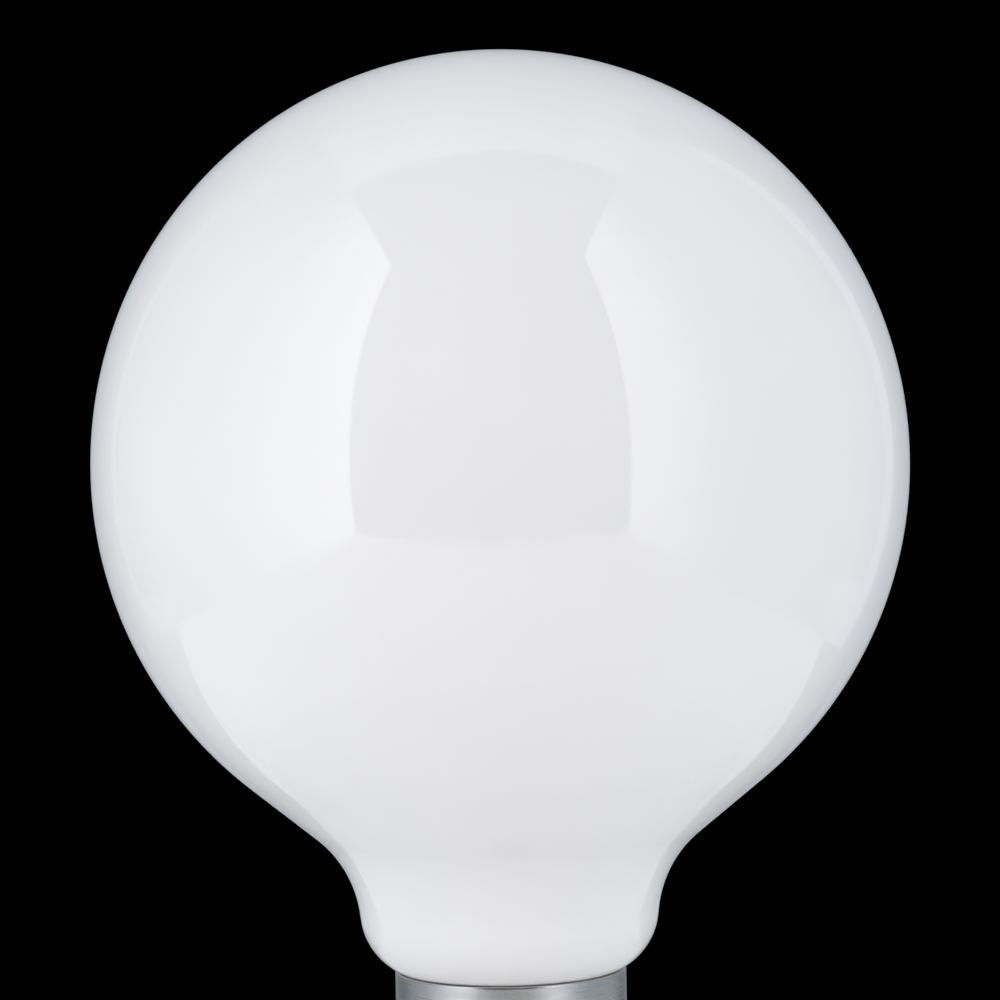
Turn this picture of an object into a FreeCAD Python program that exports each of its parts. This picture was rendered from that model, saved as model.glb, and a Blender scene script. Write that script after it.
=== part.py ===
# An opal globe bulb with a 27 mm screw cap, as it would come apart on a bench:
# the sealed white glass globe, the cement that holds it in the cap, the rolled
# screw shell, the black glass insulator, the contact plate and two beads of solder.
# Millimetres and degrees. The axis is +Z with the globe up, and the origin is the
# tip of the centre contact.
import FreeCAD, Part
import math
import os
import Sketcher
from FreeCAD import Vector

doc = FreeCAD.newDocument("globe_bulb")

# Driving dimensions, one cell each
DIMENSIONS = {
    # Blown glass
    "globe_diameter": 95.0,
    "crown_lift": 0.54,
    "cone_length": 9.7,
    "neck_fillet": 14.0,
    "neck_diameter": 35.0,
    "neck_straight": 1.0,
    "neck_draft": 7.7,
    "shoulder_radius": 7.7,
    "seat_gap": 0.2,
    "spigot_play": 0.65,
    "exhaust_tip_diameter": 6.0,
    "exhaust_tip_length": 5.0,
    "exhaust_clearance": 2.1,
    # Screw shell
    "cap_height": 27.0,
    "sheet_wall": 0.4,
    "thread_diameter": 26.3,
    "thread_depth": 1.1,
    "thread_pitch": 3.63,
    "thread_crest": 0.6,
    "thread_flank": 0.45,
    "collar_step": 0.35,
    "collar_height": 5.0,
    "collar_chamfer": 0.4,
    "rim_chamfer": 0.15,
    "lip_width": 1.15,
    "lip_bend": 1.0,
    # Insulator, contact plate and tip solder
    "nose_height": 3.9,
    "nose_rim": 1.15,
    "nose_chamfer": 0.4,
    "insulator_depth": 2.6,
    "insulator_play": 0.1,
    "lead_hole": 2.0,
    "plate_diameter": 10.6,
    "plate_thickness": 0.5,
    "plate_recess": 0.3,
    "plate_play": 0.05,
    "plate_chamfer": 0.15,
    "tip_diameter": 4.8,
    "tip_height": 0.8,
    "tip_flat": 2.0,
    # Side solder
    "bead_width": 3.2,
    "bead_proud": 0.9,
    "bead_drop": 1.9,
    "bead_azimuth": 125.0,
}
sheet = doc.addObject("Spreadsheet::Sheet", "Sizes")
for row, (alias, value) in enumerate(DIMENSIONS.items(), start=1):
    sheet.set(f"A{row}", alias)
    sheet.set(f"B{row}", str(value))
    sheet.setAlias(f"B{row}", alias)
doc.recompute()


def size(alias):
    return float(sheet.get(alias))


# Places that several pieces share. A name in capitals is an expression over the cells,
# and the same name in small letters is its value, for the first drawing of each sketch.
CREST = "(Sizes.thread_diameter / 2)"
ROOT = f"({CREST} - Sizes.thread_depth)"
BORE = f"({ROOT} - Sizes.sheet_wall)"
OPENING = f"({BORE} - Sizes.lip_width)"
SPIGOT = f"({BORE} - Sizes.spigot_play)"
COLLAR = f"({CREST} + Sizes.collar_step)"
COLLAR_INSIDE = f"({COLLAR} - Sizes.sheet_wall)"
LEAD_HOLE = "(Sizes.lead_hole / 2)"
RIM = "Sizes.cap_height"
COLLAR_UNDERSIDE = f"({RIM} - Sizes.collar_height)"
COLLAR_FLOOR = f"({COLLAR_UNDERSIDE} + Sizes.sheet_wall)"
PLATE_FACE = "Sizes.tip_height"
PLATE_TOP = "(Sizes.tip_height + Sizes.plate_thickness)"
NOSE_FACE = f"({PLATE_TOP} - Sizes.plate_recess)"
LIP_FACE = f"({NOSE_FACE} + Sizes.nose_height)"
LIP_FLOOR = f"({LIP_FACE} + Sizes.sheet_wall)"
THREAD_BOTTOM = f"({LIP_FACE} + Sizes.lip_bend)"
THREAD_TOP = f"({COLLAR_UNDERSIDE} + Sizes.sheet_wall / 2)"
FLANGE_TOP = f"({LIP_FLOOR} + Sizes.insulator_depth)"
EXHAUST_END = f"({FLANGE_TOP} + Sizes.exhaust_clearance)"
SEAL = f"({EXHAUST_END} + Sizes.exhaust_tip_length)"

crest = size("thread_diameter") / 2
root = crest - size("thread_depth")
bore = root - size("sheet_wall")
opening = bore - size("lip_width")
spigot = bore - size("spigot_play")
collar = crest + size("collar_step")
collar_inside = collar - size("sheet_wall")
lead_hole = size("lead_hole") / 2
rim = size("cap_height")
collar_underside = rim - size("collar_height")
collar_floor = collar_underside + size("sheet_wall")
plate_face = size("tip_height")
plate_top = plate_face + size("plate_thickness")
nose_face = plate_top - size("plate_recess")
lip_face = nose_face + size("nose_height")
lip_floor = lip_face + size("sheet_wall")
thread_bottom = lip_face + size("lip_bend")
thread_top = collar_underside + size("sheet_wall") / 2
flange_top = lip_floor + size("insulator_depth")
exhaust_end = flange_top + size("exhaust_clearance")
seal = exhaust_end + size("exhaust_tip_length")

START, END, CENTRE = 1, 2, 3


class HalfSection:
    """A closed outline of radius and height on the XZ plane, which becomes a body about Z."""

    def __init__(self, label):
        name = label.title().replace("_", "")
        self.body = doc.addObject("PartDesign::Body", name)
        self.body.Label = label
        plane = next(item for item in self.body.Origin.OriginFeatures if item.Role == "XZ_Plane")
        self.sketch = self.body.newObject("Sketcher::SketchObject", name + "Section")
        self.sketch.AttachmentSupport = [(plane, "")]
        self.sketch.MapMode = "FlatFace"
        self.edges = []

    def line(self, start, end):
        segment = Part.LineSegment(Vector(*start, 0), Vector(*end, 0))
        return self.add(segment, START, END)

    def arc(self, centre, radius, start_angle, end_angle):
        """An arc that is walked from its start angle to its end angle, either way round."""
        circle = Part.Circle(Vector(*centre, 0), Vector(0, 0, 1), radius)
        curve = Part.ArcOfCircle(circle, min(start_angle, end_angle), max(start_angle, end_angle))
        if start_angle < end_angle:
            return self.add(curve, START, END)
        return self.add(curve, END, START)

    def add(self, curve, first, last):
        index = self.sketch.addGeometry(curve, False)
        self.edges.append((index, first, last))
        return index

    def polygon(self, corners):
        """Straight edges through (name, radius expression, height expression, drawn point) corners."""
        points = [drawn for name, radius, height, drawn in corners]
        lines = [self.line(a, b) for a, b in zip(points, points[1:] + points[:1])]
        self.close()
        for line, (name, radius, height, drawn) in zip(lines, corners):
            self.radius_at(name + "_radius", self.first(line), radius)
            self.height_at(name + "_height", self.first(line), height)

    def first(self, edge):
        return next((index, first) for index, first, last in self.edges if index == edge)

    def last(self, edge):
        return next((index, last) for index, first, last in self.edges if index == edge)

    def rule(self, *words):
        return self.sketch.addConstraint(Sketcher.Constraint(*words))

    def close(self, smooth=()):
        """Joins each edge to the next one round the ring, smoothly after the edges named."""
        order = [index for index, first, last in self.edges]
        for edge, following in zip(order, order[1:] + order[:1]):
            kind = "Tangent" if edge in smooth else "Coincident"
            self.rule(kind, *self.last(edge), *self.first(following))

    def upright(self, *edges):
        for edge in edges:
            self.rule("Vertical", edge)

    def level(self, *edges):
        for edge in edges:
            self.rule("Horizontal", edge)

    def on_axis(self, *vertices):
        for vertex in vertices:
            self.rule("PointOnObject", *vertex, -2)

    def drive(self, name, expression, drawn, *words):
        """A dimension that takes its value from the sheet, drawn near that value first."""
        index = self.rule(*words, drawn)
        self.sketch.renameConstraint(index, name)
        self.sketch.setExpression("Constraints." + name, expression)

    def radius_at(self, name, vertex, expression):
        self.drive(name, expression, self.sketch.getPoint(*vertex).x, "DistanceX", -1, 1, *vertex)

    def height_at(self, name, vertex, expression):
        self.drive(name, expression, self.sketch.getPoint(*vertex).y, "DistanceY", -1, 1, *vertex)

    def rounding(self, name, edge, expression):
        self.drive(name, expression, self.sketch.Geometry[edge].Radius, "Radius", edge)

    def length(self, name, edge, expression):
        self.drive(name, expression, self.sketch.Geometry[edge].length(), "Distance", edge)

    def revolve(self):
        revolution = self.body.newObject("PartDesign::Revolution", self.body.Name + "Revolution")
        revolution.Profile = self.sketch
        revolution.ReferenceAxis = (self.sketch, ["V_Axis"])
        revolution.Angle = 360.0
        doc.recompute()
        return self.body

    def screw(self, pitch, height):
        """Sweeps the outline up a right-hand helix of this pitch and height."""
        helix = self.body.newObject("PartDesign::AdditiveHelix", self.body.Name + "Helix")
        helix.Profile = self.sketch
        helix.ReferenceAxis = (self.sketch, ["V_Axis"])
        helix.Mode = "pitch-height-angle"
        helix.setExpression("Pitch", pitch)
        helix.setExpression("Height", height)
        doc.recompute()
        return self.body


def polar(centre, radius, angle):
    return centre[0] + radius * math.cos(angle), centre[1] + radius * math.sin(angle)


def make_globe():
    """One blown piece: crown, globe, cone, neck and shoulder, and the sealed end in the cap."""
    globe_radius = size("globe_diameter") / 2
    fillet, shoulder = size("neck_fillet"), size("shoulder_radius")
    draft = math.radians(size("neck_draft"))
    neck_radius = size("neck_diameter") / 2
    seat_radius = collar_inside - size("seat_gap")
    tip_radius = size("exhaust_tip_diameter") / 2

    # The shoulder's arc stands on the rim, and the neck, its fillet and the globe follow above
    foot_radius = neck_radius - size("neck_straight") * math.sin(draft)
    shoulder_x = foot_radius - shoulder * math.cos(draft)
    seat_angle = math.acos((seat_radius - shoulder_x) / shoulder)
    shoulder_centre = (shoulder_x, rim + shoulder * math.sin(seat_angle))
    foot = polar(shoulder_centre, shoulder, -draft)
    neck_top = (neck_radius, foot[1] + size("neck_straight") * math.cos(draft))
    fillet_centre = polar(neck_top, fillet, -draft)
    reach = globe_radius + fillet
    span = math.hypot(reach, size("cone_length"))
    globe_centre = (0.0, fillet_centre[1] + math.sqrt(span**2 - fillet_centre[0] ** 2))
    slope = math.atan2(fillet_centre[1] - globe_centre[1], fillet_centre[0]) + math.acos(reach / span)
    crown_height = globe_radius + size("crown_lift")
    crown_top = (0.0, globe_centre[1] + crown_height)

    section = HalfSection("globe")
    lower = section.arc(globe_centre, globe_radius, 0.0, slope)
    cone = section.line(polar(globe_centre, globe_radius, slope), polar(fillet_centre, -fillet, slope))
    throat = section.arc(fillet_centre, fillet, slope + math.pi, math.pi - draft)
    neck = section.line(neck_top, foot)
    turn = section.arc(shoulder_centre, shoulder, -draft, -seat_angle)
    step = section.line((seat_radius, rim), (spigot, rim))
    spigot_side = section.line((spigot, rim), (spigot, seal))
    seal_face = section.line((spigot, seal), (tip_radius, seal))
    tip_side = section.line((tip_radius, seal), (tip_radius, exhaust_end + tip_radius))
    tip_dome = section.arc((0.0, exhaust_end + tip_radius), tip_radius, 0.0, -math.pi / 2)
    axis = section.line((0.0, exhaust_end), crown_top)
    far_side = Vector(-globe_radius, globe_centre[1], 0)
    ellipse = Part.Ellipse(Vector(*crown_top, 0), far_side, Vector(*globe_centre, 0))
    crown = section.add(Part.ArcOfEllipse(ellipse, -math.pi / 2, 0.0), END, START)
    section.sketch.exposeInternalGeometry(crown)
    long_axis = crown + 1

    section.close(smooth=(lower, cone, throat, neck, tip_side))
    section.upright(spigot_side, tip_side, axis, long_axis)
    section.level(step, seal_face)
    section.on_axis((lower, CENTRE), (tip_dome, CENTRE), section.first(axis))
    section.rule("Coincident", lower, CENTRE, crown, CENTRE)
    section.rule("Horizontal", lower, CENTRE, *section.first(lower))
    section.rounding("globe_radius", lower, "Sizes.globe_diameter / 2")
    section.drive("crown_height", "Sizes.globe_diameter / 2 + Sizes.crown_lift", crown_height,
                  "DistanceY", lower, CENTRE, *section.last(axis))
    section.length("cone_length", cone, "Sizes.cone_length")
    section.rounding("throat_radius", throat, "Sizes.neck_fillet")
    section.radius_at("neck_radius", section.first(neck), "Sizes.neck_diameter / 2")
    section.length("neck_straight", neck, "Sizes.neck_straight")
    section.drive("neck_narrowing", "Sizes.neck_straight * sin(Sizes.neck_draft * 1 deg)",
                  neck_radius - foot_radius, "DistanceX", *section.last(neck), *section.first(neck))
    section.rounding("shoulder_radius", turn, "Sizes.shoulder_radius")
    section.radius_at("seat_radius", section.first(step), f"{COLLAR_INSIDE} - Sizes.seat_gap")
    section.height_at("seat_height", section.first(step), RIM)
    section.radius_at("spigot_radius", section.first(spigot_side), SPIGOT)
    section.height_at("seal_height", section.first(seal_face), SEAL)
    section.radius_at("tip_radius", section.first(tip_side), "Sizes.exhaust_tip_diameter / 2")
    section.height_at("exhaust_end", section.first(axis), EXHAUST_END)
    return section.revolve()


def make_cement_ring():
    """Capping cement: fills the collar between its wall and the glass spigot."""
    section = HalfSection("cement_ring")
    section.polygon([
        ("floor_inside", SPIGOT, COLLAR_FLOOR, (spigot, collar_floor)),
        ("floor_outside", COLLAR_INSIDE, COLLAR_FLOOR, (collar_inside, collar_floor)),
        ("top_outside", COLLAR_INSIDE, RIM, (collar_inside, rim)),
        ("top_inside", SPIGOT, RIM, (spigot, rim)),
    ])
    return section.revolve()


def make_drawn_sheet():
    """The shell before its thread: turned-in lip, sleeve, and the collar round the glass."""
    chamfer, rim_chamfer = size("collar_chamfer"), size("rim_chamfer")
    bend = size("lip_bend")
    section = HalfSection("drawn_sheet")
    face = section.line((opening, lip_face), (root - bend, lip_face))
    turn = section.arc((root - bend, lip_face + bend), bend, -math.pi / 2, 0.0)
    sleeve = section.line((root, lip_face + bend), (root, collar_underside))
    underside = section.line((root, collar_underside), (collar - chamfer, collar_underside))
    bevel = section.line((collar - chamfer, collar_underside), (collar, collar_underside + chamfer))
    outside = section.line((collar, collar_underside + chamfer), (collar, rim - rim_chamfer))
    rim_bevel = section.line((collar, rim - rim_chamfer), (collar - rim_chamfer, rim))
    rim_face = section.line((collar - rim_chamfer, rim), (collar_inside, rim))
    inside = section.line((collar_inside, rim), (collar_inside, collar_floor))
    floor = section.line((collar_inside, collar_floor), (bore, collar_floor))
    bore_wall = section.line((bore, collar_floor), (bore, lip_floor))
    lip_top = section.line((bore, lip_floor), (opening, lip_floor))
    edge = section.line((opening, lip_floor), (opening, lip_face))
    section.close(smooth=(face, turn))
    section.level(face, underside, rim_face, floor, lip_top)
    section.upright(sleeve, outside, inside, bore_wall, edge)
    section.radius_at("opening", section.first(face), OPENING)
    section.height_at("lip_face", section.first(face), LIP_FACE)
    section.rounding("lip_bend", turn, "Sizes.lip_bend")
    section.radius_at("root_radius", section.first(sleeve), ROOT)
    section.height_at("underside", section.first(underside), COLLAR_UNDERSIDE)
    section.radius_at("bevel_start", section.first(bevel), f"{COLLAR} - Sizes.collar_chamfer")
    section.radius_at("collar_radius", section.first(outside), COLLAR)
    section.height_at("bevel_end", section.first(outside), f"{COLLAR_UNDERSIDE} + Sizes.collar_chamfer")
    section.height_at("rim_bevel_start", section.last(outside), f"{RIM} - Sizes.rim_chamfer")
    section.radius_at("rim_bevel_end", section.first(rim_face), f"{COLLAR} - Sizes.rim_chamfer")
    section.height_at("rim_height", section.first(rim_face), RIM)
    section.radius_at("collar_inside", section.first(inside), COLLAR_INSIDE)
    section.height_at("floor_height", section.first(floor), COLLAR_FLOOR)
    section.radius_at("bore", section.first(bore_wall), BORE)
    section.height_at("lip_floor", section.first(lip_top), LIP_FLOOR)
    return section.revolve()


def make_thread_ridge():
    """The rolled lamp thread: a section of equal arcs, drawn as chords, swept up its helix.

    It starts a turn below the sleeve and ends a turn above it, to be trimmed.
    """
    pitch, depth = size("thread_pitch"), size("thread_depth")
    arc_radius = (pitch**2 / 16 + depth**2 / 4) / depth
    upper = pitch / 4 - size("thread_flank") / 2
    lower = pitch / 4 + size("thread_flank") / 2
    flank_rise = math.sqrt(arc_radius**2 - upper**2) - arc_radius + depth / 2
    middle = (crest + root) / 2
    start = thread_bottom - pitch
    buried = root - size("sheet_wall") / 2
    foot = pitch / 2 - size("thread_crest") / 2

    ARC_RADIUS = "((Sizes.thread_pitch ^ 2 / 16 + Sizes.thread_depth ^ 2 / 4) / Sizes.thread_depth)"
    UPPER = "(Sizes.thread_pitch / 4 - Sizes.thread_flank / 2)"
    LOWER = "(Sizes.thread_pitch / 4 + Sizes.thread_flank / 2)"
    FLANK_RISE = f"(sqrt({ARC_RADIUS} ^ 2 - {UPPER} ^ 2) - {ARC_RADIUS} + Sizes.thread_depth / 2)"
    MIDDLE = f"(({CREST} + {ROOT}) / 2)"
    BURIED = f"({ROOT} - Sizes.sheet_wall / 2)"
    FOOT = "(Sizes.thread_pitch / 2 - Sizes.thread_crest / 2)"
    # From the crest's edge down to the foot: name, radius, distance from the crest's middle
    steps = [
        ("crest", CREST, "(Sizes.thread_crest / 2)", crest, size("thread_crest") / 2),
        ("upper_flank", f"({MIDDLE} + {FLANK_RISE})", UPPER, middle + flank_rise, upper),
        ("lower_flank", f"({MIDDLE} - {FLANK_RISE})", LOWER, middle - flank_rise, lower),
        ("foot", ROOT, FOOT, root, foot),
        ("buried", BURIED, FOOT, buried, foot),
    ]
    START_HEIGHT = f"({THREAD_BOTTOM} - Sizes.thread_pitch)"
    above = [(name + "_above", RADIUS, f"{START_HEIGHT} + {OFFSET}", (radius, start + offset))
             for name, RADIUS, OFFSET, radius, offset in steps]
    below = [(name + "_below", RADIUS, f"{START_HEIGHT} - {OFFSET}", (radius, start - offset))
             for name, RADIUS, OFFSET, radius, offset in reversed(steps)]
    section = HalfSection("thread_ridge")
    section.polygon(below + above)
    return section.screw("Sizes.thread_pitch", f"{THREAD_TOP} - {THREAD_BOTTOM} + 2 * Sizes.thread_pitch")


def make_thread_envelope():
    """What the thread is trimmed to: a bevelled lead-in over the lip, and the collar's underside."""
    wide, lead_in_top = crest + size("thread_depth"), thread_bottom + 2 * size("thread_depth")
    WIDE = f"({CREST} + Sizes.thread_depth)"
    LEAD_IN_TOP = f"({THREAD_BOTTOM} + 2 * Sizes.thread_depth)"
    section = HalfSection("thread_envelope")
    section.polygon([
        ("bottom_inside", BORE, THREAD_BOTTOM, (bore, thread_bottom)),
        ("lead_in_foot", ROOT, THREAD_BOTTOM, (root, thread_bottom)),
        ("lead_in_top", WIDE, LEAD_IN_TOP, (wide, lead_in_top)),
        ("top_outside", WIDE, THREAD_TOP, (wide, thread_top)),
        ("top_inside", BORE, THREAD_TOP, (bore, thread_top)),
    ])
    return section.revolve()


def make_screw_shell():
    """One drawn and rolled sheet: lip, threaded sleeve and collar."""
    thread = doc.addObject("Part::Common", "Thread")
    thread.Base = make_thread_ridge()
    thread.Tool = make_thread_envelope()
    shell = doc.addObject("Part::Fuse", "ScrewShell")
    shell.Label = "screw_shell"
    shell.Base = make_drawn_sheet()
    shell.Tool = thread
    doc.recompute()
    return shell


def make_insulator():
    """Black glass: a cone below the lip, a flange above it, and the hole for the centre lead."""
    recess = size("plate_diameter") / 2 + size("plate_play")
    nose, chamfer = recess + size("nose_rim"), size("nose_chamfer")
    flange = bore - size("insulator_play")
    RECESS = "(Sizes.plate_diameter / 2 + Sizes.plate_play)"
    NOSE = f"({RECESS} + Sizes.nose_rim)"
    FLANGE = f"({BORE} - Sizes.insulator_play)"
    section = HalfSection("insulator")
    section.polygon([
        ("roof_inside", LEAD_HOLE, PLATE_TOP, (lead_hole, plate_top)),
        ("roof_outside", RECESS, PLATE_TOP, (recess, plate_top)),
        ("recess_edge", RECESS, NOSE_FACE, (recess, nose_face)),
        ("nose_edge", f"{NOSE} - Sizes.nose_chamfer", NOSE_FACE, (nose - chamfer, nose_face)),
        ("nose_side", NOSE, f"{NOSE_FACE} + Sizes.nose_chamfer", (nose, nose_face + chamfer)),
        ("lip_outside", OPENING, LIP_FACE, (opening, lip_face)),
        ("lip_inside", OPENING, LIP_FLOOR, (opening, lip_floor)),
        ("flange_seat", FLANGE, LIP_FLOOR, (flange, lip_floor)),
        ("flange_top", FLANGE, FLANGE_TOP, (flange, flange_top)),
        ("hole_top", LEAD_HOLE, FLANGE_TOP, (lead_hole, flange_top)),
    ])
    return section.revolve()


def make_contact_plate():
    """A brass disc in the insulator's lower face, pierced for the centre lead."""
    radius, chamfer = size("plate_diameter") / 2, size("plate_chamfer")
    RADIUS = "Sizes.plate_diameter / 2"
    section = HalfSection("contact_plate")
    section.polygon([
        ("face_inside", LEAD_HOLE, PLATE_FACE, (lead_hole, plate_face)),
        ("face_edge", f"{RADIUS} - Sizes.plate_chamfer", PLATE_FACE, (radius - chamfer, plate_face)),
        ("side_edge", RADIUS, f"{PLATE_FACE} + Sizes.plate_chamfer", (radius, plate_face + chamfer)),
        ("top_edge", RADIUS, PLATE_TOP, (radius, plate_top)),
        ("top_inside", LEAD_HOLE, PLATE_TOP, (lead_hole, plate_top)),
    ])
    return section.revolve()


def make_tip_solder():
    """Solder over the plate's hole: a low dome dressed flat at the tip, and a plug in the hole."""
    flat, base = size("tip_flat") / 2, size("tip_diameter") / 2
    dome = ((base - flat) ** 2 + plate_face**2) / (2 * plate_face)
    dome_end = math.atan2(plate_face - dome, base - flat)
    section = HalfSection("tip_solder")
    tip = section.line((0.0, 0.0), (flat, 0.0))
    side = section.arc((flat, dome), dome, -math.pi / 2, dome_end)
    seat = section.line((base, plate_face), (lead_hole, plate_face))
    plug = section.line((lead_hole, plate_face), (lead_hole, plate_top))
    top = section.line((lead_hole, plate_top), (0.0, plate_top))
    axis = section.line((0.0, plate_top), (0.0, 0.0))
    section.close(smooth=(tip,))
    section.level(tip, seat, top)
    section.upright(plug)
    section.rule("Coincident", *section.first(tip), -1, 1)
    section.on_axis(section.first(axis))
    section.radius_at("tip_flat", section.last(tip), "Sizes.tip_flat / 2")
    section.radius_at("base_radius", section.first(seat), "Sizes.tip_diameter / 2")
    section.height_at("seat_height", section.first(seat), PLATE_FACE)
    section.radius_at("plug_radius", section.first(plug), LEAD_HOLE)
    section.height_at("plug_top", section.first(top), PLATE_TOP)
    return section.revolve()


def make_side_solder():
    """A bead of solder on the collar's outside, just below the rim: a ball cut to the collar."""
    BALL = "(Sizes.bead_width ^ 2 / (8 * Sizes.bead_proud) + Sizes.bead_proud / 2)"
    REACH = f"({COLLAR} + Sizes.bead_proud - {BALL})"
    ball = doc.addObject("Part::Sphere", "Ball")
    ball.setExpression("Radius", BALL)
    ball.setExpression("Placement.Base.x", f"{REACH} * cos(Sizes.bead_azimuth * 1 deg)")
    ball.setExpression("Placement.Base.y", f"{REACH} * sin(Sizes.bead_azimuth * 1 deg)")
    ball.setExpression("Placement.Base.z", f"{RIM} - Sizes.bead_drop")
    band = doc.addObject("Part::Cylinder", "Band")
    band.setExpression("Radius", COLLAR)
    band.setExpression("Height", f"{RIM} + {BALL}")
    solder = doc.addObject("Part::Cut", "SideSolder")
    solder.Label = "side_solder"
    solder.Base = ball
    solder.Tool = band
    doc.recompute()
    return solder


pieces = [
    make_globe(),
    make_cement_ring(),
    make_screw_shell(),
    make_insulator(),
    make_contact_plate(),
    make_tip_solder(),
    make_side_solder(),
]
doc.recompute()

# Nothing is written unless every feature is sound and every piece is one valid solid
for item in doc.Objects:
    if "Invalid" in item.State or "Error" in item.State:
        raise RuntimeError(f"{item.Label} failed: {item.State}")
for piece in pieces:
    shape = piece.Shape
    if shape.isNull() or not shape.isValid() or len(shape.Solids) != 1:
        raise RuntimeError(f"{piece.Label} is not one valid solid")

os.makedirs("parts", exist_ok=True)
for piece in pieces:
    piece.Shape.exportStep(os.path.join("parts", piece.Label + ".step"))
    box = piece.Shape.BoundBox
    print(f"{piece.Label}: {piece.Shape.Volume:.1f} mm3, z {box.ZMin:.2f} to {box.ZMax:.2f}")
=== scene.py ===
# An opal globe bulb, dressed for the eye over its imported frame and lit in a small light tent.
# Lengths are millimetres, as on a drawing, and MM turns them into Blender's metres.
import math
import bpy
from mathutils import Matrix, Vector


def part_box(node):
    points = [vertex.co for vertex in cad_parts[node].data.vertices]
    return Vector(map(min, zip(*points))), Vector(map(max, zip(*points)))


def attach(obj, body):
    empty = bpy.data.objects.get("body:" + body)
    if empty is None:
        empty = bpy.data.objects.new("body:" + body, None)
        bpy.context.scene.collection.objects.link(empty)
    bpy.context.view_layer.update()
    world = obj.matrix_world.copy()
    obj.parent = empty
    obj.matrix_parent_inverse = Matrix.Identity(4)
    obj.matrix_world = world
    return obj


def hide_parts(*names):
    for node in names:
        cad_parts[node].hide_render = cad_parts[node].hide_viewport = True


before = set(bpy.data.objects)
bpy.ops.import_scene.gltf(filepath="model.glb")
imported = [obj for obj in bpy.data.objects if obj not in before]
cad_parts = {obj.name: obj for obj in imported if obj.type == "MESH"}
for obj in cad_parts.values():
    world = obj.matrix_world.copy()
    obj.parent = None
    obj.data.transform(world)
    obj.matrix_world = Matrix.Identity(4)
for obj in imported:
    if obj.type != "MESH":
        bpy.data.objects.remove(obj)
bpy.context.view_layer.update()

# Screw shell
# A cup of aluminium sheet, drawn to shape, with the lamp thread rolled into its wall. Its lip
# is turned in under the insulator, and its collar takes the sealed end of the glass.
MM = 0.001
shell_low, shell_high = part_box("screw_shell")
lip_face = shell_low.z / MM
rim = shell_high.z / MM
collar_radius = shell_high.x / MM
sheet_wall = 0.4
collar_height = 5.0
collar_step = 0.35
thread_depth = 1.1
thread_pitch = 3.63
thread_run = 1.6
lip_width = 1.15
lip_bend = 1.0
sleeve_bend = 0.4
collar_bend = 0.5
collar_corner = 0.15
rim_edge = 0.15
cut_edge = 0.1
shell_spacing = 0.18
shell_segments = 192
crest = collar_radius - collar_step
root = crest - thread_depth
bore = root - sheet_wall
lip_opening = bore - lip_width
lip_floor = lip_face + sheet_wall
thread_start = lip_face + lip_bend
thread_end = rim - collar_height
collar_floor = thread_end + sheet_wall
collar_inside = collar_radius - sheet_wall


def rounded_outline(corners, longest):
    """Points round an outline of (radius, height, rounding) corners, none further apart than longest."""
    arc_steps = 6
    turns = []
    for before, corner, after in zip(corners[-1:] + corners[:-1], corners, corners[1:] + corners[:1]):
        tip = Vector(corner[:2])
        back = (Vector(before[:2]) - tip).normalized()
        ahead = (Vector(after[:2]) - tip).normalized()
        rounding = corner[2]
        if rounding == 0:
            turns.append(tip)
            continue
        half_angle = back.angle(ahead) / 2
        centre = tip + (back + ahead).normalized() * rounding / math.sin(half_angle)
        first = tip + back * rounding / math.tan(half_angle) - centre
        last = tip + ahead * rounding / math.tan(half_angle) - centre
        sweep = [first.slerp(last, step / arc_steps).normalized() for step in range(arc_steps + 1)]
        turns += [centre + way * rounding for way in sweep]
    outline = []
    for point, following in zip(turns, turns[1:] + turns[:1]):
        pieces = max(1, math.ceil((following - point).length / longest))
        outline += [tuple(point.lerp(following, share / pieces)) for share in range(pieces)]
    return outline


def turned(name, outline, segments, form=None):
    """A smooth mesh turned about Z from (radius, height) points, anticlockwise round the section.

    An outline that starts on the axis ends on it, and any other one is a closed ring. A form
    moves each point by its angle, for what isn't quite round.
    """
    axis_limit = 1e-6
    crease = math.radians(40)
    vertices, rings = [], []
    for radius, height in outline:
        if radius < axis_limit:
            rings.append([len(vertices)] * segments)
            vertices.append((0.0, 0.0, height * MM))
            continue
        rings.append(range(len(vertices), len(vertices) + segments))
        for step in range(segments):
            angle = math.tau * step / segments
            far, high = form(radius, height, angle) if form else (radius, height)
            vertices.append((far * math.cos(angle) * MM, far * math.sin(angle) * MM, high * MM))
    faces = []
    ring_pairs = list(zip(rings, rings[1:]))
    if outline[0][0] > axis_limit:
        ring_pairs.append((rings[-1], rings[0]))
    for lower, upper in ring_pairs:
        for step in range(segments):
            following = (step + 1) % segments
            corners = [lower[step], lower[following], upper[following], upper[step]]
            faces.append(list(dict.fromkeys(corners)))
    mesh = bpy.data.meshes.new(name)
    mesh.from_pydata(vertices, [], faces)
    mesh.shade_smooth()
    mesh.set_sharp_from_angle(angle=crease)
    piece = bpy.data.objects.new(name, mesh)
    bpy.context.scene.collection.objects.link(piece)
    return piece


def smooth_step(share):
    share = min(max(share, 0.0), 1.0)
    return share * share * (3 - 2 * share)


def rolled_thread(radius, height, angle):
    """Equal arcs for crest and root, up a right-hand helix, fading into the plain sheet at both ends."""
    turn = (height - thread_start) / thread_pitch - angle / math.tau
    from_crest = abs(turn - round(turn)) * thread_pitch
    arc_radius = (thread_pitch**2 / 16 + thread_depth**2 / 4) / thread_depth
    if from_crest < thread_pitch / 4:
        stand = thread_depth - arc_radius + math.sqrt(arc_radius**2 - from_crest**2)
    else:
        stand = arc_radius - math.sqrt(arc_radius**2 - (thread_pitch / 2 - from_crest) ** 2)
    run_in = smooth_step((height - thread_start) / thread_run)
    run_out = smooth_step((thread_end - height) / thread_run)
    return radius + stand * run_in * run_out, height


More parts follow.
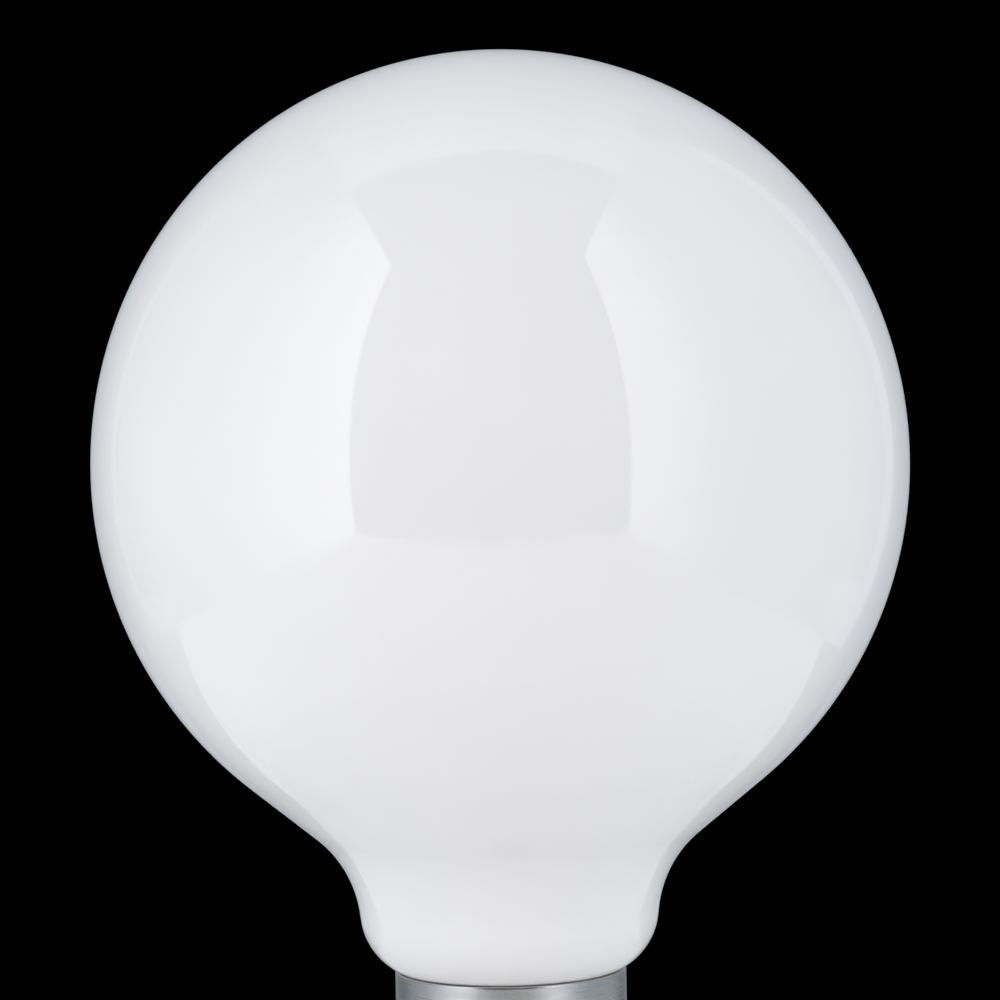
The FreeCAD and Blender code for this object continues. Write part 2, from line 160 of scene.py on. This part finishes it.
shell_corners = [
    (lip_opening, lip_face, cut_edge),
    (root, lip_face, lip_bend),
    (root, thread_end, sleeve_bend),
    (collar_radius, thread_end, collar_bend),
    (collar_radius, rim, rim_edge),
    (collar_inside, rim, cut_edge),
    (collar_inside, collar_floor, collar_corner),
    (bore, collar_floor, sleeve_bend),
    (bore, lip_floor, lip_bend - sheet_wall),
    (lip_opening, lip_floor, cut_edge),
]
shell = turned("rolled_shell", rounded_outline(shell_corners, shell_spacing), shell_segments, rolled_thread)


def linear(hex_colour):
    """An sRGB hex colour as the linear colour that shaders take."""
    channels = [int(hex_colour[place:place + 2], 16) / 255 for place in (1, 3, 5)]
    return [c / 12.92 if c <= 0.04045 else ((c + 0.055) / 1.055) ** 2.4 for c in channels] + [1.0]


def add_node(tree, kind, inputs, **settings):
    """Adds a node with its settings. An input is a value for its socket, or the output that feeds it."""
    node = tree.nodes.new(kind)
    for setting, value in settings.items():
        setattr(node, setting, value)
    for socket, value in inputs.items():
        if isinstance(value, bpy.types.NodeSocket):
            tree.links.new(value, node.inputs[socket])
        else:
            node.inputs[socket].default_value = value
    return node


# Aluminium sheet, drawn and rolled: satin grey with fine lines round the cup from the tools,
# darker down in the thread's roots and lighter along its crests. The lines are drawn
# coarser than real ones, so that they show.
root_grey = "#B4B5B8"
crest_grey = "#D9DADC"
stain_grey = "#C4C3C2"
tool_line = 0.22
line_length = 9.0
line_depth = 0.01
stain_size = 6.0
smoothest = 0.24
roughest = 0.42
# Blender's noise stays mostly between these two levels
noise_low = 0.3
noise_high = 0.7
aluminium = bpy.data.materials.new("aluminium_sheet_drawn_and_rolled")
aluminium.use_nodes = True
tree = aluminium.node_tree
surface = tree.nodes["Principled BSDF"]
place = add_node(tree, "ShaderNodeTexCoord", {})
stretch = (1 / line_length / MM, 1 / line_length / MM, 1 / tool_line / MM)
around = add_node(tree, "ShaderNodeMapping", {"Vector": place.outputs["Object"], "Scale": stretch})
lines = add_node(tree, "ShaderNodeTexNoise", {
    "Vector": around.outputs["Vector"], "Scale": 1.0, "Detail": 3.0})
stains = add_node(tree, "ShaderNodeTexNoise", {
    "Vector": place.outputs["Object"], "Scale": 1 / stain_size / MM, "Detail": 4.0})
flat_place = add_node(tree, "ShaderNodeVectorMath", {
    0: place.outputs["Object"], 1: (1.0, 1.0, 0.0)}, operation="MULTIPLY")
from_axis = add_node(tree, "ShaderNodeVectorMath", {0: flat_place.outputs["Vector"]}, operation="LENGTH")
# Darker towards the thread's roots and lighter towards its crests, by distance from the axis
root_to_crest = add_node(tree, "ShaderNodeMapRange", {
    "Value": from_axis.outputs["Value"], "From Min": root * MM, "From Max": crest * MM})
tone = add_node(tree, "ShaderNodeMix", {
    "Factor": root_to_crest.outputs["Result"], "A": linear(root_grey), "B": linear(crest_grey)},
    data_type="RGBA")
weathered = add_node(tree, "ShaderNodeMix", {
    "Factor": stains.outputs["Fac"], "A": tone.outputs["Result"], "B": linear(stain_grey)},
    data_type="RGBA")
satin = add_node(tree, "ShaderNodeMapRange", {
    "Value": lines.outputs["Fac"], "From Min": noise_low, "From Max": noise_high,
    "To Min": smoothest, "To Max": roughest})
relief = add_node(tree, "ShaderNodeBump", {
    "Height": lines.outputs["Fac"], "Distance": line_depth * MM, "Strength": 0.6})
surface.inputs["Metallic"].default_value = 1.0
surface.inputs["Anisotropic"].default_value = 0.3
tree.links.new(weathered.outputs["Result"], surface.inputs["Base Color"])
tree.links.new(satin.outputs["Result"], surface.inputs["Roughness"])
tree.links.new(relief.outputs["Normal"], surface.inputs["Normal"])
shell.data.materials.append(aluminium)
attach(shell, "root")
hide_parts("screw_shell")

# Insulator
# Black glass, pressed hot into the foot of the shell, where it grips the turned-in lip. Its nose
# stands below the lip, with a recess for the contact plate and a hole for the centre lead.
insulator_low, insulator_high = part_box("insulator")
plate_low, plate_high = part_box("contact_plate")
plate_play = 0.05
nose_rim = 1.15
lead_hole = 1.0
recess_edge = 0.12
nose_edge = 0.5
lip_edge = 0.25
flange_edge = 0.3
hole_edge = 0.1
insulator_spacing = 0.5
insulator_segments = 160
plate_top = plate_high.z / MM
recess = plate_high.x / MM + plate_play
nose_face = insulator_low.z / MM
nose_radius = recess + nose_rim
flange = insulator_high.x / MM
flange_top = insulator_high.z / MM
insulator_corners = [
    (lead_hole, plate_top, 0.0),
    (recess, plate_top, 0.0),
    (recess, nose_face, recess_edge),
    (nose_radius, nose_face, nose_edge),
    (lip_opening, lip_face, lip_edge),
    (lip_opening, lip_floor, 0.0),
    (flange, lip_floor, 0.0),
    (flange, flange_top, flange_edge),
    (lead_hole, flange_top, hole_edge),
]
insulator = turned(
    "pressed_insulator", rounded_outline(insulator_corners, insulator_spacing), insulator_segments)

# Pressed black glass: near black and glossy, with the soft ripple and faint grey bloom that the
# hot tool leaves on its skin.
glass_black = "#101012"
bloom_grey = "#1E1E21"
ripple_size = 2.4
ripple_depth = 0.06
bloom_size = 1.1
smoothest = 0.08
roughest = 0.24
black_glass = bpy.data.materials.new("pressed_black_glass")
black_glass.use_nodes = True
tree = black_glass.node_tree
surface = tree.nodes["Principled BSDF"]
place = add_node(tree, "ShaderNodeTexCoord", {})
ripple = add_node(tree, "ShaderNodeTexNoise", {
    "Vector": place.outputs["Object"], "Scale": 1 / ripple_size / MM, "Detail": 1.0})
bloom = add_node(tree, "ShaderNodeTexNoise", {
    "Vector": place.outputs["Object"], "Scale": 1 / bloom_size / MM, "Detail": 5.0})
body = add_node(tree, "ShaderNodeMix", {
    "Factor": bloom.outputs["Fac"], "A": linear(glass_black), "B": linear(bloom_grey)},
    data_type="RGBA")
polish = add_node(tree, "ShaderNodeMapRange", {
    "Value": bloom.outputs["Fac"], "From Min": noise_low, "From Max": noise_high,
    "To Min": smoothest, "To Max": roughest})
skin = add_node(tree, "ShaderNodeBump", {
    "Height": ripple.outputs["Fac"], "Distance": ripple_depth * MM, "Strength": 0.5})
surface.inputs["IOR"].default_value = 1.6
tree.links.new(body.outputs["Result"], surface.inputs["Base Color"])
tree.links.new(polish.outputs["Result"], surface.inputs["Roughness"])
tree.links.new(skin.outputs["Normal"], surface.inputs["Normal"])
insulator.data.materials.append(black_glass)
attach(insulator, "root")
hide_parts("insulator")

# Contact plate
# A brass disc, stamped and pierced, held in the insulator's recess with its face just proud of
# the glass.
plate_radius = plate_high.x / MM
plate_face = plate_low.z / MM
pierced_edge = 0.05
stamped_edge = 0.15
plate_spacing = 0.4
plate_segments = 128
plate_corners = [
    (lead_hole, plate_face, pierced_edge),
    (plate_radius, plate_face, stamped_edge),
    (plate_radius, plate_top, 0.0),
    (lead_hole, plate_top, 0.0),
]
plate = turned("stamped_plate", rounded_outline(plate_corners, plate_spacing), plate_segments)

# Stamped brass: yellow metal with a turned grain, browner where fingers and flux have been. The
# grain is drawn coarser than a real one, so that it shows.
clean_brass = "#D9B56C"
tarnished_brass = "#A9803F"
tarnish_size = 3.0
grain_width = 0.754
grain_depth = 0.006
smoothest = 0.2
roughest = 0.42
# Blender's wave texture has this many rings to a unit
wave_rings = 20 / math.tau
brass = bpy.data.materials.new("stamped_brass")
brass.use_nodes = True
tree = brass.node_tree
surface = tree.nodes["Principled BSDF"]
place = add_node(tree, "ShaderNodeTexCoord", {})
tarnish = add_node(tree, "ShaderNodeTexNoise", {
    "Vector": place.outputs["Object"], "Scale": 1 / tarnish_size / MM, "Detail": 5.0})
grain = add_node(tree, "ShaderNodeTexWave", {
    "Vector": place.outputs["Object"], "Scale": 1 / (wave_rings * grain_width) / MM,
    "Distortion": 1.5, "Detail": 2.0},
    wave_type="RINGS", rings_direction="Z")
tint = add_node(tree, "ShaderNodeMix", {
    "Factor": tarnish.outputs["Fac"], "A": linear(clean_brass), "B": linear(tarnished_brass)},
    data_type="RGBA")
sheen = add_node(tree, "ShaderNodeMapRange", {
    "Value": tarnish.outputs["Fac"], "From Min": noise_low, "From Max": noise_high,
    "To Min": smoothest, "To Max": roughest})
turning = add_node(tree, "ShaderNodeBump", {
    "Height": grain.outputs["Fac"], "Distance": grain_depth * MM, "Strength": 0.5})
surface.inputs["Metallic"].default_value = 1.0
tree.links.new(tint.outputs["Result"], surface.inputs["Base Color"])
tree.links.new(sheen.outputs["Result"], surface.inputs["Roughness"])
tree.links.new(turning.outputs["Normal"], surface.inputs["Normal"])
plate.data.materials.append(brass)
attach(plate, "root")
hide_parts("contact_plate")

# Cement
# Capping cement, put in the collar as a paste and baked hard round the sealed end of the glass.
# All that shows is a fine line between the rim and the neck.
spigot_play = 0.65
spigot = bore - spigot_play
cement_swell = 0.04
top_band = 0.5
cement_spacing = 0.5
cement_segments = 160


def baked_top(radius, height, angle):
    """The paste isn't quite level where it stands at the rim."""
    if height < rim - top_band:
        return radius, height
    return radius, height - cement_swell * (1 + math.sin(5 * angle) * math.sin(3 * angle + 1))


cement_corners = [
    (spigot, collar_floor, 0.0),
    (collar_inside, collar_floor, collar_corner),
    (collar_inside, rim, 0.0),
    (spigot, rim, 0.0),
]
cement = turned("baked_cement", rounded_outline(cement_corners, cement_spacing), cement_segments, baked_top)

# Capping cement: a matt stone colour with the speckle of its marble filler.
paste_brown = "#B8AD98"
filler_cream = "#E3DAC6"
filler_grit = 0.3
grit_depth = 0.05
stone = bpy.data.materials.new("capping_cement_baked")
stone.use_nodes = True
tree = stone.node_tree
surface = tree.nodes["Principled BSDF"]
place = add_node(tree, "ShaderNodeTexCoord", {})
speckle = add_node(tree, "ShaderNodeTexNoise", {
    "Vector": place.outputs["Object"], "Scale": 1 / filler_grit / MM, "Detail": 4.0})
mixture = add_node(tree, "ShaderNodeMix", {
    "Factor": speckle.outputs["Fac"], "A": linear(paste_brown), "B": linear(filler_cream)},
    data_type="RGBA")
gritty = add_node(tree, "ShaderNodeBump", {
    "Height": speckle.outputs["Fac"], "Distance": grit_depth * MM, "Strength": 0.7})
surface.inputs["Roughness"].default_value = 0.9
tree.links.new(mixture.outputs["Result"], surface.inputs["Base Color"])
tree.links.new(gritty.outputs["Normal"], surface.inputs["Normal"])
cement.data.materials.append(stone)
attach(cement, "root")
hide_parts("cement_ring")

# Globe
# Opal glass, blown in one piece: crown, globe, cone, neck and the shoulder that sits on the cement.
# Its end is sealed inside the cap, with the stub of the exhaust tube below the seal.
globe_low, globe_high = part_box("globe")
globe_radius = globe_high.x / MM
crown_top = globe_high.z / MM
exhaust_end = globe_low.z / MM
crown_lift = 0.54
cone_length = 9.7
neck_fillet = 14.0
neck_radius = 17.5
neck_straight = 1.0
neck_draft = math.radians(7.7)
shoulder_radius = 7.7
seat_gap = 0.2
exhaust_radius = 3.0
exhaust_length = 5.0
blown_unevenness = 0.02
oval_rise = 14.0
lobe_rise = 19.0
lobe_turn = 1.3
stub_steps = 8
shoulder_steps = 16
fillet_steps = 20
lower_steps = 60
crown_steps = 80
globe_segments = 256
seal = exhaust_end + exhaust_length
seat = collar_inside - seat_gap


def on_circle(centre, radius, angle):
    return centre[0] + radius * math.cos(angle), centre[1] + radius * math.sin(angle)


def arc(centre, radius, start, end, steps, height=None):
    """Points along an arc from one angle to another, of an ellipse if its height isn't its radius."""
    angles = [start + (end - start) * step / steps for step in range(steps + 1)]
    return [(centre[0] + radius * math.cos(a), centre[1] + (height or radius) * math.sin(a)) for a in angles]


# The shoulder starts level with the rim, and the neck, its fillet, the cone and the globe follow
# above, each tangent to the last
foot_radius = neck_radius - neck_straight * math.sin(neck_draft)
shoulder_x = foot_radius - shoulder_radius * math.cos(neck_draft)
seat_angle = math.acos((seat - shoulder_x) / shoulder_radius)
shoulder_centre = (shoulder_x, rim + shoulder_radius * math.sin(seat_angle))
foot = on_circle(shoulder_centre, shoulder_radius, -neck_draft)
neck_top = (neck_radius, foot[1] + neck_straight * math.cos(neck_draft))
fillet_centre = on_circle(neck_top, neck_fillet, -neck_draft)
globe_centre = (0.0, crown_top - globe_radius - crown_lift)
span = math.hypot(globe_radius + neck_fillet, cone_length)
slope = (math.atan2(fillet_centre[1] - globe_centre[1], fillet_centre[0])
         + math.acos((globe_radius + neck_fillet) / span))
glass_outline = (
    arc((0.0, exhaust_end + exhaust_radius), exhaust_radius, -math.pi / 2, 0.0, stub_steps)
    + [(exhaust_radius, seal), (spigot, seal), (spigot, rim)]
    + arc(shoulder_centre, shoulder_radius, -seat_angle, -neck_draft, shoulder_steps)
    + arc(fillet_centre, neck_fillet, math.pi - neck_draft, math.pi + slope, fillet_steps)
    + arc(globe_centre, globe_radius, slope, 0.0, lower_steps)
    + arc(globe_centre, globe_radius, 0.0, math.pi / 2, crown_steps, globe_radius + crown_lift)[1:]
)
glass_outline[0] = (0.0, exhaust_end)
glass_outline[-1] = (0.0, crown_top)


def blown(radius, height, angle):
    """A mould leaves the glass a hair off true, in slow waves that die away at the rim and the crown."""
    calm = smooth_step((height - rim) / globe_radius) * smooth_step((crown_top - height) / globe_radius)
    wave = math.sin(2 * angle + height / oval_rise) + math.sin(3 * angle + lobe_turn - height / lobe_rise)
    return radius - blown_unevenness * calm * (1 + wave / 2), height


globe = turned("blown_globe", glass_outline, globe_segments, blown)

# Opal glass, fire polished: a milky white body under a clear glossy skin, a little cloudy where
# the white isn't quite even. The body is so dense that no light is seen through it.
cloud_white = "#EAE9EB"
milk_white = "#F1F0F0"
cloud_size = 22.0
smoothest = 0.03
roughest = 0.06
opal = bpy.data.materials.new("opal_glass_fire_polished")
opal.use_nodes = True
tree = opal.node_tree
surface = tree.nodes["Principled BSDF"]
place = add_node(tree, "ShaderNodeTexCoord", {})
clouds = add_node(tree, "ShaderNodeTexNoise", {
    "Vector": place.outputs["Object"], "Scale": 1 / cloud_size / MM, "Detail": 3.0})
milk = add_node(tree, "ShaderNodeMix", {
    "Factor": clouds.outputs["Fac"], "A": linear(cloud_white), "B": linear(milk_white)},
    data_type="RGBA")
clarity = add_node(tree, "ShaderNodeMapRange", {
    "Value": clouds.outputs["Fac"], "From Min": noise_low, "From Max": noise_high,
    "To Min": smoothest, "To Max": roughest})
surface.inputs["IOR"].default_value = 1.52
tree.links.new(milk.outputs["Result"], surface.inputs["Base Color"])
tree.links.new(clarity.outputs["Result"], surface.inputs["Roughness"])
globe.data.materials.append(opal)
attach(globe, "root")
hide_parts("globe")

# Tip solder
# The centre lead comes through the plate's hole, is drowned in a bead of solder and clipped, and
# the bead is dressed flat where it meets the lampholder's spring.
tip_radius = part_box("tip_solder")[1].x / MM
tip_flat = 1.0
tip_wander = 0.04
dome_steps = 10
tip_segments = 96
dome = ((tip_radius - tip_flat) ** 2 + plate_face**2) / (2 * plate_face)
dome_end = math.atan2(plate_face - dome, tip_radius - tip_flat)
tip_outline = (
    [(0.0, 0.0), (tip_flat / 2, 0.0)]
    + arc((tip_flat, dome), dome, -math.pi / 2, dome_end, dome_steps)
    + [(lead_hole, plate_face), (lead_hole, plate_top), (0.0, plate_top)]
)


def flowed(radius, height, angle):
    """The edge of the melt wanders on the plate, and the flat and the plug stay true."""
    spread = smooth_step((radius - tip_flat) / (tip_radius - tip_flat))
    wave = math.sin(3 * angle + 0.6) * math.cos(2 * angle)
    return radius * (1 - tip_wander * spread * (1 + wave)), height


tip = turned("tip_bead", tip_outline, tip_segments, flowed)

# Tin solder, set from the melt: a soft silvery grey, smooth with a faint frosting where it froze.
dull_silver = "#B3B4B7"
bright_silver = "#DADBDD"
frost_size = 0.5
frost_depth = 0.02
smoothest = 0.18
roughest = 0.45
solder = bpy.data.materials.new("tin_solder_set_from_the_melt")
solder.use_nodes = True
tree = solder.node_tree
surface = tree.nodes["Principled BSDF"]
place = add_node(tree, "ShaderNodeTexCoord", {})
frost = add_node(tree, "ShaderNodeTexNoise", {
    "Vector": place.outputs["Object"], "Scale": 1 / frost_size / MM, "Detail": 3.0})
silver = add_node(tree, "ShaderNodeMix", {
    "Factor": frost.outputs["Fac"], "A": linear(dull_silver), "B": linear(bright_silver)},
    data_type="RGBA")
frosting = add_node(tree, "ShaderNodeMapRange", {
    "Value": frost.outputs["Fac"], "From Min": noise_low, "From Max": noise_high,
    "To Min": smoothest, "To Max": roughest})
frozen = add_node(tree, "ShaderNodeBump", {
    "Height": frost.outputs["Fac"], "Distance": frost_depth * MM, "Strength": 0.3})
surface.inputs["Metallic"].default_value = 1.0
tree.links.new(silver.outputs["Result"], surface.inputs["Base Color"])
tree.links.new(frosting.outputs["Result"], surface.inputs["Roughness"])
tree.links.new(frozen.outputs["Normal"], surface.inputs["Normal"])
tip.data.materials.append(solder)
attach(tip, "root")
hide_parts("tip_solder")

# Side solder
# The other lead is bent over the rim and held to the outside of the collar by a bead of the same
# solder, which wets the sheet and thins out at its edge.
bead_low, bead_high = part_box("side_solder")
bead_middle = (bead_low + bead_high) / 2 / MM
bead_azimuth = math.atan2(bead_middle.y, bead_middle.x)
bead_half = (bead_high.z - bead_low.z) / 2 / MM
bead_proud = 0.9
bead_wander = 0.06
edge_thinning = 0.3
bead_rings = 14
bead_spokes = 48
bead_crease = math.radians(60)


def on_collar(out, share, turn):
    """A point on the bead, by its share of the way to the edge and its turn round the middle."""
    wander = 1 - bead_wander * (1 + math.sin(3 * turn + 0.8) * math.cos(2 * turn))
    across = share * bead_half * wander * math.cos(turn) / collar_radius
    height = bead_middle.z + share * bead_half * wander * math.sin(turn)
    far = collar_radius + out
    angle = bead_azimuth + across
    return far * math.cos(angle) * MM, far * math.sin(angle) * MM, height * MM


vertices = [on_collar(bead_proud, 0.0, 0.0)]
for ring in range(1, bead_rings + 1):
    share = ring / bead_rings
    bulge = bead_proud * (1 - share**2) * (1 - edge_thinning * share**4)
    vertices += [on_collar(bulge, share, math.tau * spoke / bead_spokes) for spoke in range(bead_spokes)]
vertices.append(on_collar(0.0, 0.0, 0.0))
faces = []
for spoke in range(bead_spokes):
    following = (spoke + 1) % bead_spokes
    faces.append((0, 1 + spoke, 1 + following))
    for ring in range(bead_rings - 1):
        inner = 1 + ring * bead_spokes
        outer = 1 + (ring + 1) * bead_spokes
        faces.append((inner + spoke, outer + spoke, outer + following, inner + following))
    edge = 1 + (bead_rings - 1) * bead_spokes
    faces.append((edge + spoke, len(vertices) - 1, edge + following))
mesh = bpy.data.meshes.new("side_bead")
mesh.from_pydata(vertices, [], faces)
mesh.shade_smooth()
mesh.set_sharp_from_angle(angle=bead_crease)
bead = bpy.data.objects.new("side_bead", mesh)
bpy.context.scene.collection.objects.link(bead)
bead.data.materials.append(solder)
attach(bead, "root")
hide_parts("side_solder")

# Floor
# A low round plinth covered in pale matt card, which the bulb stands on by its tip. It is small, so
# that it stays below the main view. Soft light comes up through the card in a ring round the bulb,
# strongest towards the edge.
plinth_radius = 75.0
plinth_height = 18.0
foot_edge = 0.5
top_edge = 1.5
plinth_spacing = 40.0
plinth_segments = 192
plinth_corners = [
    (0.0, -plinth_height, 0.0),
    (plinth_radius, -plinth_height, foot_edge),
    (plinth_radius, 0.0, top_edge),
    (0.0, 0.0, 0.0),
]
plinth = turned("plinth", rounded_outline(plinth_corners, plinth_spacing), plinth_segments)

# Matt card: a pale grey with a faint mottle of fibres, paler in the light that it sends back.
pulp_grey = "#D1D0CE"
fibre_grey = "#DAD9D8"
bounce_white = "#ECEBEA"
fibre_size = 1.5
pool_inside = 30.0
pool_outside = 62.0
pool_strength = 0.37
card = bpy.data.materials.new("pale_matt_card")
card.use_nodes = True
tree = card.node_tree
surface = tree.nodes["Principled BSDF"]
place = add_node(tree, "ShaderNodeTexCoord", {})
ray = add_node(tree, "ShaderNodeLightPath", {})
fibres = add_node(tree, "ShaderNodeTexNoise", {
    "Vector": place.outputs["Object"], "Scale": 1 / fibre_size / MM, "Detail": 4.0})
pulp = add_node(tree, "ShaderNodeMix", {
    "Factor": fibres.outputs["Fac"], "A": linear(pulp_grey), "B": linear(fibre_grey)},
    data_type="RGBA")
bounce = add_node(tree, "ShaderNodeMix", {
    "Factor": ray.outputs["Is Diffuse Ray"], "A": pulp.outputs["Result"], "B": linear(bounce_white)},
    data_type="RGBA")
from_foot = add_node(tree, "ShaderNodeVectorMath", {0: place.outputs["Object"]}, operation="LENGTH")
pool = add_node(tree, "ShaderNodeMapRange", {
    "Value": from_foot.outputs["Value"], "From Min": pool_inside * MM, "From Max": pool_outside * MM,
    "To Min": 0.0, "To Max": pool_strength}, interpolation_type="SMOOTHSTEP")
pool_light = add_node(tree, "ShaderNodeMath", {
    0: pool.outputs["Result"], 1: ray.outputs["Is Diffuse Ray"]}, operation="MULTIPLY")
surface.inputs["Roughness"].default_value = 0.85
surface.inputs["Emission Color"].default_value = linear("#FFFFFF")
tree.links.new(bounce.outputs["Result"], surface.inputs["Base Color"])
tree.links.new(pool_light.outputs["Value"], surface.inputs["Emission Strength"])
plinth.data.materials.append(card)

# Light
# A small tent of thin white cloth round the plinth, open at the front. Lamps outside light its walls,
# most of all towards the front, and the side walls end short of a wider back wall. The cloth lights
# the bulb and shows in its gloss, lets the room's light through, and is out of the camera's sight.
tent_left = -225.0
tent_right = 185.0
tent_front = -290.0
tent_back = 215.0
left_back = 165.0
right_back = 148.0
back_reach = 300.0
tent_height = 505.0
tent_foot = -plinth_height
roof_front = -27.0
floor_back = 77.0
lamp_white = "#FFFFFF"
sky_white = "#DFEBF7"
cloth_white = "#ECEBEA"


def flat_cloth(name, corners):
    """A flat stage sheet through corners in millimetres, which the camera looks past."""
    mesh = bpy.data.meshes.new(name)
    mesh.from_pydata([Vector(corner) * MM for corner in corners], [], [range(len(corners))])
    sheet = bpy.data.objects.new(name, mesh)
    bpy.context.scene.collection.objects.link(sheet)
    sheet.visible_camera = False
    return sheet


# The floor of the tent is the same cloth, unlit, and takes its light from the walls
tent_floor = flat_cloth("tent_floor", [
    (tent_left, tent_front, tent_foot), (tent_right, tent_front, tent_foot),
    (tent_right, floor_back, tent_foot), (tent_left, floor_back, tent_foot)])
white_cloth = bpy.data.materials.new("white_cloth")
white_cloth.use_nodes = True
surface = white_cloth.node_tree.nodes["Principled BSDF"]
surface.inputs["Base Color"].default_value = linear(cloth_white)
surface.inputs["Roughness"].default_value = 0.9
tent_floor.data.materials.append(white_cloth)


def lit_cloth(name, corners, along, reach, glow, tints):
    """A wall of the tent, whose glow and tint each go from one to another over a reach along X or Y."""
    wall = flat_cloth(name, corners)
    cloth = bpy.data.materials.new(name + "_lit_cloth")
    cloth.use_nodes = True
    tree = cloth.node_tree
    tree.nodes.clear()
    place = add_node(tree, "ShaderNodeTexCoord", {})
    axes = add_node(tree, "ShaderNodeSeparateXYZ", {"Vector": place.outputs["Object"]})
    falloff = add_node(tree, "ShaderNodeMapRange", {
        "Value": axes.outputs[along], "From Min": reach[0] * MM, "From Max": reach[1] * MM},
        interpolation_type="SMOOTHSTEP")
    strength = add_node(tree, "ShaderNodeMapRange", {
        "Value": falloff.outputs["Result"], "To Min": glow[0], "To Max": glow[1]})
    tint = add_node(tree, "ShaderNodeMix", {
        "Factor": falloff.outputs["Result"], "A": linear(tints[0]), "B": linear(tints[1])},
        data_type="RGBA")
    lamp = add_node(tree, "ShaderNodeEmission", {
        "Color": tint.outputs["Result"], "Strength": strength.outputs["Result"]})
    sheer = add_node(tree, "ShaderNodeBsdfTransparent", {})
    both = add_node(tree, "ShaderNodeAddShader", {0: lamp.outputs["Emission"], 1: sheer.outputs["BSDF"]})
    add_node(tree, "ShaderNodeOutputMaterial", {"Surface": both.outputs["Shader"]})
    wall.data.materials.append(cloth)


# Each wall's reach, and its glow at the two ends of it
left_reach = (tent_front, 40.0)
left_glow = (2.35, 0.24)
right_reach = (-240.0, -55.0)
right_glow = (1.82, 0.39)
roof_reach = (roof_front, 160.0)
roof_glow = (0.7, 0.42)
back_inner = 120.0
back_outer = 190.0
back_glow = (0.4, 0.22)
behind_reach = (floor_back, tent_back)
behind_glow = (0.2, 0.2)
lamp_to_sky = (lamp_white, sky_white)
all_sky = (sky_white, sky_white)
for name, side, back, reach, glow in (
        ("left_wall", tent_left, left_back, left_reach, left_glow),
        ("right_wall", tent_right, right_back, right_reach, right_glow)):
    lit_cloth(name, [(side, tent_front, tent_foot), (side, back, tent_foot),
                     (side, back, tent_height), (side, tent_front, tent_height)],
              "Y", reach, glow, lamp_to_sky)
lit_cloth("roof", [(tent_left, roof_front, tent_height), (tent_right, roof_front, tent_height),
                   (tent_right, tent_back, tent_height), (tent_left, tent_back, tent_height)],
          "Y", roof_reach, roof_glow, lamp_to_sky)
for name, way in (("back_left", -1), ("back_right", 1)):
    lit_cloth(name, [(0.0, tent_back, tent_foot), (way * back_reach, tent_back, tent_foot),
                     (way * back_reach, tent_back, tent_height), (0.0, tent_back, tent_height)],
              "X", (way * back_inner, way * back_outer), back_glow, all_sky)
lit_cloth("floor_behind", [(-back_reach, floor_back, tent_foot), (back_reach, floor_back, tent_foot),
                           (back_reach, tent_back, tent_foot), (-back_reach, tent_back, tent_foot)],
          "Y", behind_reach, behind_glow, all_sky)

# The room: soft fill on every surface, and a black ground to the camera, to gloss and through glass
room_fill = 0.514
room = bpy.data.worlds.new("room")
bpy.context.scene.world = room
room.use_nodes = True
tree = room.node_tree
tree.nodes.clear()
ray = add_node(tree, "ShaderNodeLightPath", {})
seen = add_node(tree, "ShaderNodeMath", {
    0: ray.outputs["Is Camera Ray"], 1: ray.outputs["Is Glossy Ray"]}, operation="ADD")
seen_at_all = add_node(tree, "ShaderNodeMath", {
    0: seen.outputs["Value"], 1: ray.outputs["Is Transmission Ray"]}, operation="ADD", use_clamp=True)
fill = add_node(tree, "ShaderNodeBackground", {"Color": linear("#FFFFFF"), "Strength": room_fill})
ground = add_node(tree, "ShaderNodeBackground", {"Color": linear("#000000"), "Strength": 1.0})
choice = add_node(tree, "ShaderNodeMixShader", {
    "Fac": seen_at_all.outputs["Value"], 1: fill.outputs["Background"], 2: ground.outputs["Background"]})
add_node(tree, "ShaderNodeOutputWorld", {"Surface": choice.outputs["Shader"]})

# Camera
# Level with the lower half of the globe, close enough that its foot is out of the picture, and
# turned a degree about its own line of sight.
camera_distance = 328.55
camera_height = 81.75
camera_offset = -0.1
camera_roll = 1.21
lens = bpy.data.cameras.new("camera")
lens.lens = 101.0
lens.sensor_width = 36.0
lens.clip_start = 0.01
camera = bpy.data.objects.new("camera", lens)
camera.location = (camera_offset * MM, -camera_distance * MM, camera_height * MM)
camera.rotation_euler = (math.radians(90), math.radians(camera_roll), 0.0)
bpy.context.scene.collection.objects.link(camera)
bpy.context.scene.camera = camera
bpy.context.scene.view_settings.view_transform = "Standard"
